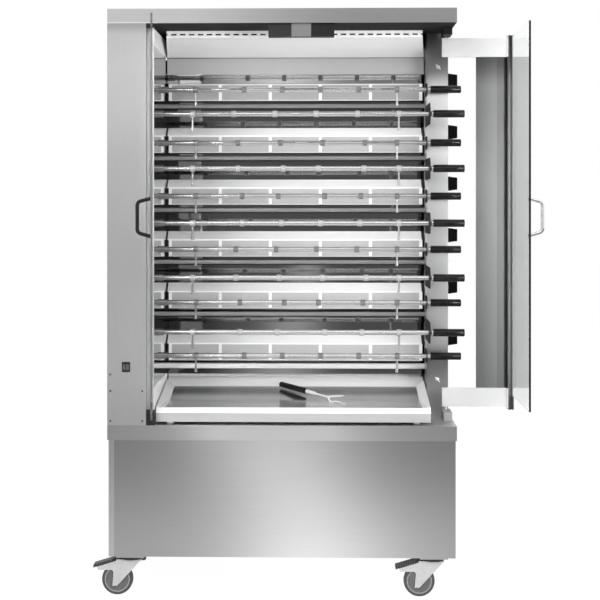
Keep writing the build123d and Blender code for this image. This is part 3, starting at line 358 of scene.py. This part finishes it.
upright_grain = (900, 900, 6)
paint(satin_steel("upright_satin_steel", upright_grain, column_tone), "left_column")
oiled, sockets, place = finish("oiled_steel", 1.0, 0.45)
shades(grain(place, (40, 40, 40)), 0.16, 0.3).feed(sockets["Base Color"])
paint(oiled, "drive_unit")
screw_zinc, sockets, place = finish("screw_zinc", 1.0, 0.25)
shades(grain(place, (400, 400, 400)), 0.10, 0.25).feed(sockets["Base Color"])
dome_profile = [(0.0, 0.0034), (-0.00032, 0.0034), (-0.00064, 0.0027), (-0.0008, 0.0014)]
column_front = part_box("left_column")[0][1]
screw_spots = ((-0.550, 0.715), (-0.550, 0.662), (-0.550, 0.566), (-0.447, 0.662), (-0.447, 0.566))
screws = loft("column_screws", screw_zinc, "cabinet", *[
    turned((x, column_front, z), (0, 1, 0), dome_profile, 20) for x, z in screw_spots
])


# Switch: two dark grey rockers side by side in a black moulded bezel. The bezel snaps into an
# opening in the column's front sheet, and the rockers tilt on pins inside it.
moulded, sockets, place = finish("black_moulding", 0.0, 0.42)
sockets["Specular IOR Level"].default_value = 0.2
pitted = grain(place, (700, 700, 700))
shades(pitted, 0.006, 0.016).feed(sockets["Base Color"])
relief(pitted, 0.12, 0.0004, sockets)
paint(moulded, "switch_housing")
rocker, sockets, place = finish("rocker_moulding", 0.0, 0.3)
sockets["Specular IOR Level"].default_value = 0.2
shades(grain(place, (300, 300, 300)), 0.05, 0.09).feed(sockets["Base Color"])
paint(rocker, "rocker_left", "rocker_right")


# Chamber liner: bright stainless sheet. The hood, its slotted strip and the reflectors above the
# burners are pale and matt, and the back wall is a dark mirror that is not quite flat.
first_course, course_pitch = 0.748, 0.1804


def course_height(place):
    """Height of a point above the foot of its burner course, as the courses repeat upwards."""
    return place.maths("FRACT", (place.axis("Z") - first_course) * (1 / course_pitch)) * course_pitch


liner, sockets, place = finish("liner_sheet", 1.0, 0.1)
x, y, z = (place.axis(name) for name in "XYZ")
left_wall, right_wall = -0.4118, 0.4745
sheet_front, back_wall = 0.138, 0.1785
lip_foot, band_foot, hood_foot = 1.68, 1.7125, 1.7705
sill = 0.672
inside = x > left_wall
band = within(z, band_foot, hood_foot) * within(y, sheet_front, 0.1425)
hood = (z > hood_foot) * within(y, -0.07, 0.1435) + band
hood_lip = within(z, lip_foot, band_foot) * within(y, sheet_front, 0.15)
reflector_span, top_reflector = (0.0285, 0.062), 1.67
reflector = within(course_height(place), *reflector_span) * within(y, sheet_front, 0.1792)
reflector = reflector * (z < top_reflector)
low_wall = (z < sill) * (y > back_wall)
matt_side = (1 - inside) * (within(z, 1.772, 1.828) + (z < sill))
matt = (hood + reflector) * inside + matt_side
wiped = grain(place, (30, 30, 260))
wavy = grain(place, (0, 0, 9), 1.0)
# Dark lines in the gaps at the hood's two ends: painted shadow.
painted_corner_shadow = (within(x, left_wall, -0.4098 + 0.0025 * wavy) + (x > right_wall)) * (1 - hood)
pale = 0.97 - 0.56 * band + 0.02 * within(z, 1.7655, hood_foot)
# The mirror's grey is darker towards the left: painted shade.
mirror = (0.42 + 0.06 * wiped) * x.ramp(-0.32, -0.18, 0.3, 1.0) * (1 - low_wall)
wall = mirror + 0.95 * low_wall + 0.45 * hood_lip
tone = matt * pale + (1 - matt) * (wall * inside + 0.86 * (1 - inside))
shades(tone * (1 - 0.97 * painted_corner_shadow), 0.0, 1.0).feed(sockets["Base Color"])
(1 - 0.85 * matt - 0.95 * low_wall).feed(sockets["Metallic"])
(0.03 + 0.02 * wiped + 0.45 * matt + 0.35 * low_wall).feed(sockets["Roughness"])
relief(grain(place, (5, 5, 2.2), 1.0), 0.005, 0.01, sockets)
paint(liner, "chamber_liner")


# Burners: steel boxes with pale perforated ceramic plaques between bright bars in their faces,
# and a polished round feed tube below each one.
burner, sockets, place = finish("burner_steel", 1.0, 0.2)
course = course_height(place)
tube_span, lowest_tube = (0.1, 0.145), 0.715
tube = within(course, *tube_span)
heated = grain(place, (12, 12, 60))
above_lowest = place.axis("Z") > lowest_tube
shaded = (within(course, 0.1, 0.1265) + within(course, 0.1405, 0.152)) * above_lowest
lit = heated * 0.1 + 0.80 - 0.58 * tube * above_lowest
shades(lit * (1 - 0.95 * shaded), 0.0, 1.0).feed(sockets["Base Color"])
(tube * 0.3 + 0.1).feed(sockets["Metallic"])
(0.45 - 0.1 * tube + 0.08 * heated).feed(sockets["Roughness"])
paint(burner, "burner_bodies")
plaque, sockets, place = finish("plaque_ceramic", 0.0, 0.85)
holes = place.node("TexVoronoi", {"Vector": place, "Scale": 260.0, "Randomness": 0.0}, out="Distance")
cast = grain(place, (9, 9, 9))
# The top plaques are darker under the hood: painted shade.
painted_shade_under_hood = place.axis("Z").ramp(1.6, 1.64, 1.0, 0.6)
pores = holes.ramp(0.2, 0.34, 0.0, 1.0) * (0.75 + 0.25 * cast) * painted_shade_under_hood
shades(pores, 0.22, 0.50).feed(sockets["Base Color"])
paint(plaque, "burner_plaques")


# Right post and spit rack: a satin casing with a cover strip that two wing bolts hold, and dark
# plates with notches, open at the top, for the right ends of the spits.
def post_tone(place):
    """Grey of the post: painted shade darkens both ends, a painted sheen makes the part between them paler
    towards the top, and it is paler again at the foot.
    """
    height = place.axis("Z")
    lit = height.ramp(1.72, 1.64, 0, 1) * height.ramp(0.735, 0.81, 0, 1)
    foot = 0.25 * height.ramp(0.72, 0.62, 0, 1)
    return 0.26 + lit * (0.46 + 0.26 * height.ramp(0.8, 1.3, 0, 1)) + foot


paint(satin_steel("post_satin_steel", upright_grain, post_tone), "right_post")
rack, sockets, place = finish("rack_steel", 1.0, 0.34)
cover_left, cover_front = 0.4852, 0.0285
arm = place.axis("X") < cover_left
shades(post_tone(place) * (1 - arm) + 0.012 * arm, 0.0, 1.0).feed(sockets["Base Color"])
(1 - arm).feed(sockets["Metallic"])
(0.3 + 0.1 * grain(place, upright_grain) + 0.5 * arm).feed(sockets["Roughness"])
paint(rack, "spit_rack")
bolt_profile = [(0, 0.007), (0.002, 0.007), (0.003, 0.0045), (0.010, 0.0045), (0.011, 0.003)]
wing_profile = [(0, 0.002), (0.003, 0.003), (0.006, 0.0036), (0.009, 0.003), (0.0105, 0.0015)]
bolt_skins = []
for x, z in ((0.523, 1.727), (0.520, 0.667)):
    bolt_skins.append(turned((x, cover_front, z), (0, -1, 0), bolt_profile, 20))
    for side in (-1, 1):
        root = (x + 0.002 * side, cover_front - 0.008, z)
        bolt_skins.append(turned(root, (0.5 * side, -0.2, -0.84 * side), wing_profile, 16))
wing_bolts = loft("cover_wing_bolts", plated, "cabinet", *bolt_skins)


# Gas line: a dark oiled pipe with a valve on it for each burner, fixed inside the right post.
# The black knobs are moulded in glossy plastic and push onto the valves' spindles.
paint(oiled, "gas_manifold")
gloss, sockets, place = finish("gloss_black", 0.0, 0.16)
sockets["Specular IOR Level"].default_value = 0.3
handled = grain(place, (60, 60, 60))
shades(handled, 0.003, 0.009).feed(sockets["Base Color"])
(0.12 + 0.14 * handled).feed(sockets["Roughness"])
paint(gloss, *[name for name in nodes if name.startswith("gas_knob")])


# Back panel and canopy: satin sheet, the canopy folded down on all sides. Their inner faces
# are painted nearly black as shade, so the roof of the chamber is nearly black.
roofing, sockets, place = finish("canopy_satin_steel", 1.0, 0.34)
x, y, z = (place.axis(name) for name in "XYZ")
roof_painted_shade = within(z, 1.8405, 1.8445) * within(y, -0.286, 0.28)
back_painted_shade = within(y, 0.27, 0.2890) * (z < 1.84)
painted_inner_shade = roof_painted_shade + back_painted_shade
brushed = grain(place, level_grain)
painted_edge_highlight = (z < 1.8450) * (y < -0.2885) * (x < -0.40)
# Painted sheen makes the outer sheet paler towards the left, and a painted highlight runs along the
# canopy's lower left edge.
sheet = (0.42 + 0.28 * x.ramp(0.25, -0.35, 0, 1) + 0.3 * painted_edge_highlight) * (0.93 + 0.14 * brushed)
shades(sheet * (1 - painted_inner_shade) + 0.006 * painted_inner_shade, 0.0, 1.0).feed(sockets["Base Color"])
(1 - painted_inner_shade).feed(sockets["Metallic"])
(0.28 + 0.14 * brushed + 0.55 * painted_inner_shade).feed(sockets["Roughness"])
relief(brushed, 0.03, 0.001, sockets)
paint(roofing, "canopy", "back_panel")


# Door hardware: dark steel hinge blocks above and below each door, and a catch box under the
# canopy where the doors meet, with a paler plate and two magnets.
blocks, sockets, place = finish("blackened_steel", 0.0, 0.5)
sockets["Specular IOR Level"].default_value = 0.15
filed = grain(place, (120, 120, 120))
x, z = place.axis("X"), place.axis("Z")
catch_foot = 1.79
plate = within(x, 0.0315, 0.0945) * (z > catch_foot)
box = within(x, -0.05, 0.031) * (z > catch_foot)
foot = (x > 0.5) * (z < 0.6)
dark = 0.006 + 0.012 * filed + 0.12 * plate + 0.008 * box + 0.25 * foot
shades(dark, 0.0, 1.0).feed(sockets["Base Color"])
paint(blocks, "door_hardware")


# Doors: tempered panes in bright stainless frames, each with a bowed bar handle. The right door
# carries a side frame of two pale rails and a folded strip.
pane, sockets, place = finish("door_pane", 0.0, 0.02)
sockets["Transmission Weight"].default_value = 1.0
sockets["IOR"].default_value = 1.12
# Random smears in the tint, and painted light that makes the pane paler towards the top.
smear_and_painted_light = 0.3 * grain(place, (3, 3, 3), 1.0) + place.axis("Z").ramp(0.7, 1.75, 0.0, 0.7)
place.node("Mix", {"Factor": smear_and_painted_light, "A": (0.84, 0.86, 0.855, 1), "B": (0.99, 1.0, 1.0, 1)}, out="Result",
           data_type="RGBA").feed(sockets["Base Color"])
paint(pane, "left_door_glass", "right_door_glass")

side_frame, sockets, place = finish("side_frame_steel", 1.0, 0.34)
x, z = place.axis("X"), place.axis("Z")
upper_rail, lower_rail = 1.7518, 0.6502
strip_fold, stile = 0.712, 0.7475
rails = ((z > upper_rail) + (z < lower_rail)) * (x < stile)
# The strip's grey is painted light: a painted reflection paler up to the fold and darker past it, a darker
# line by the stile, and painted shade towards the top.
fold = x.ramp(0.64, strip_fold, 0.18, 0.235) - 0.05 * (x > strip_fold) - 0.12 * within(x, 0.735, stile)
fold = fold * z.ramp(1.74, 1.64, 0.42, 1.0) * z.ramp(1.3, 1.6, 1.0, 0.84)
brushed = grain(place, upright_grain)
shades(rails * 0.57 + (1 - rails) * fold * (0.93 + 0.14 * brushed), 0.0, 1.0).feed(sockets["Base Color"])
(1 - 0.8 * rails).feed(sockets["Metallic"])
(0.3 + 0.1 * brushed).feed(sockets["Roughness"])
paint(side_frame, "right_door_frame")


def stile_tone(place):
    """Grey of the left door's frame: the same all over."""
    return 0.8


paint(satin_steel("stile_steel", upright_grain, stile_tone), "left_door_frame")
paint(gloss, "left_door_handle")
chrome, sockets, place = finish("handle_chrome", 1.0, 0.1)
wiped = grain(place, (30, 30, 260))
shades(wiped, 0.80, 0.90).feed(sockets["Base Color"])
(0.1 + 0.08 * wiped).feed(sockets["Roughness"])
paint(chrome, "right_door_handle")


# Drip tray: folded polished stainless pan that rests on two runners and slides to the front. Its
# turned-down lip and its slopes are paler than the floor: painted light on the one sheet.
tray, sockets, place = finish("tray_steel", 1.0, 0.1)
x, y, z = (place.axis(name) for name in "XYZ")
lip_back, lip_under = -0.2405, 0.5885
painted_lit_lip = (y < lip_back) * (z > lip_under)
face = (y < -0.2575) * (z < lip_under)
floor_left, floor_right, floor_back = -0.381, 0.454, 0.11
off_floor = (y > floor_back) + (x < floor_left) + (x > floor_right)
painted_lit_slopes = place.maths("MINIMUM", off_floor, 1.0) * (y > lip_back)
wiped = grain(place, (8, 60, 60))
shades(0.62 + 0.08 * wiped + 0.28 * painted_lit_lip + 0.32 * painted_lit_slopes, 0.0, 1.0).feed(sockets["Base Color"])
(0.17 + 0.06 * wiped + 0.24 * painted_lit_lip + 0.24 * painted_lit_slopes + 0.19 * face).feed(sockets["Roughness"])
(1 - 0.8 * painted_lit_lip - 0.3 * face - 0.5 * painted_lit_slopes).feed(sockets["Metallic"])
paint(tray, "drip_tray")


# Serving fork: a black moulded handle on a bright collar, and two prongs bent from round bar.
# It lies loose, leaning in the tray.
def bent(path, radius, sides=14):
    """Round bar along a path: circles of the given radius square to the path at each point."""
    path = np.array(path, float)
    onward = np.gradient(path, axis=0)
    onward /= np.linalg.norm(onward, axis=1, keepdims=True)
    side = np.cross(onward, (0.31, 0.17, 0.93))
    side /= np.linalg.norm(side, axis=1, keepdims=True)
    angle = np.linspace(0, 2 * np.pi, sides, endpoint=False)[None, :, None]
    circle = np.cos(angle) * side[:, None] + np.sin(angle) * np.cross(onward, side)[:, None]
    return path[:, None] + circle * np.broadcast_to(radius, len(path))[:, None, None]


butt = np.array((-0.013, 0.088, 0.643))
along = np.array((0.692, -0.715, -0.1))
spread = np.array((0.3737, 0.2881, 0.8814))


def laid(stations):
    """Points of the fork at distances along it and across it, in the plane of its prongs."""
    s, w = np.array(stations).T[:, :, None]
    return butt + s * along + w * spread


fork_grip_profile = [(0, 0.0065), (0.002, 0.0088), (0.005, 0.0095), (0.124, 0.0095), (0.13, 0.008)]
shank_profile = [(0.13, 0.0052), (0.131, 0.0062), (0.172, 0.0055), (0.175, 0.003), (0.24, 0.003)]
straight_prong = [(0.23, 0), (0.238, 0.002), (0.248, 0.005), (0.268, 0.010), (0.288, 0.015), (0.30, 0.018)]
bent_prong = [(0.23, 0), (0.238, -0.003), (0.248, -0.010), (0.256, -0.013), (0.264, -0.012),
              (0.272, -0.008), (0.288, -0.006), (0.324, -0.008)]
grip = loft("serving_fork_grip", gloss, "serving_fork", turned(butt, along, fork_grip_profile))
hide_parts("serving_fork")
fork_steel, sockets, place = finish("fork_steel", 0.35, 0.32)
shades(grain(place, (60, 60, 60)), 0.80, 0.95).feed(sockets["Base Color"])
prongs = loft(
    "serving_fork_prongs", fork_steel, "serving_fork", turned(butt, along, shank_profile),
    bent(laid(straight_prong), np.array((0.0025, 0.003, 0.003, 0.0028, 0.0024, 0.001))),
    bent(laid(bent_prong), np.array((0.0025, 0.003, 0.003, 0.003, 0.003, 0.0028, 0.0024, 0.001))))


# Spits: bright drawn bars with clamped forks, driven by sockets in the left wall, each with a
# bright ferrule and a black moulded grip at the right.
bright, sockets, place = finish("spit_chrome", 1.0, 0.24)
drawn = grain(place, (8, 160, 160))
# The bars are darker towards their left ends: painted shade.
painted_shade_left_end = place.axis("X").ramp(-0.42, -0.16, 0.36, 1.0)
shades(painted_shade_left_end * (0.72 + 0.18 * drawn), 0.0, 1.0).feed(sockets["Base Color"])
(0.2 + 0.1 * drawn).feed(sockets["Roughness"])
lit_and_shaded_hubs = []
# Hubs on the rear row of spits are a darker copy of the same steel: painted shade.
for name, dull, light in (("lit_front_hub_steel", 0.38, 0.50), ("shaded_rear_hub_steel", 0.16, 0.26)):
    made, sockets, place = finish(name, 0.4, 0.36)
    shades(grain(place, (120, 120, 120)), dull, light).feed(sockets["Base Color"])
    lit_and_shaded_hubs.append(made)
teeth, tooth_sides = 15, 150
tooth_angle = np.arange(tooth_sides) * 2 * np.pi * teeth / tooth_sides
toothed = turned((0, 0, 0), (1, 0, 0), [(-0.481, 0.028), (-0.473, 0.028)], tooth_sides)
toothed[:, :, 1:] *= 1 + 0.07 * np.cos(tooth_angle)[None, :, None]
bar_profile = [(-0.473, 0.011), (-0.397, 0.011), (-0.395, 0.0095), (-0.395, 0.008), (0.487, 0.008),
               (0.487, 0.0084), (0.488, 0.009), (0.4955, 0.009), (0.4955, 0.006)]
grip_profile = [(0.496, 0.0098), (0.4967, 0.0115), (0.4985, 0.0125), (0.5965, 0.0125), (0.5983, 0.0115),
                (0.599, 0.0098)]
hub_profile = [(-0.008, 0.0094), (-0.007, 0.0105), (0.007, 0.0105), (0.008, 0.0094)]
screw_profile = [(0, 0.0035), (0.032, 0.0035), (0.033, 0.0046), (0.0455, 0.005), (0.0465, 0.0042)]
first_hub, hub_step, hub_shift, hub_flat = -0.285, 0.1364, 0.007, 0.0024
tine_way = np.linspace(0, 1, 7)
tine_run = 0.004 + 0.052 * tine_way
tine_bow = 0.0105 - 0.0004 * np.sin(np.pi * tine_way)
tine_radius = np.append(np.full(6, 0.002), 0.0006)
for number in range(1, 12):
    spit = f"spit_{number:02d}"
    low, high = (np.array(corner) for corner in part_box(spit + "_handle"))
    axis = np.array((0, (low[1] + high[1]) / 2, (low[2] + high[2]) / 2))
    skins = [turned(axis, (1, 0, 0), bar_profile, 24), toothed + axis]
    hubs = []
    for i in range(6):
        shift = (3 * i + 5 * number + i * number) % 5 - 2
        hub = axis + (first_hub + hub_step * i + hub_shift * shift, 0, 0)
        block = turned(hub, (1, 0, 0), hub_profile)
        block[:, :, 1] += np.sign(block[:, :, 1] - hub[1]) * hub_flat
        hubs.append(block)
        facing = 1 if i % 2 == 0 else -1
        for side in (-1, 1):
            tine = np.stack([facing * tine_run, side * tine_bow, 0 * tine_way], axis=1)
            skins.append(bent(hub + tine, tine_radius, 10))
        if i in (0, 5):
            skins.append(turned(hub - (0, 0, 0.0095), (0, 0, -1), screw_profile, 16))
    bar = loft(spit + "_bar", bright, spit, *skins)
    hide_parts(spit)
    clamped = loft(spit + "_hubs", lit_and_shaded_hubs[number % 2], spit, *hubs)
    grip = loft(spit + "_grip", gloss, spit, turned(axis, (1, 0, 0), grip_profile, 32))
    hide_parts(spit + "_handle")
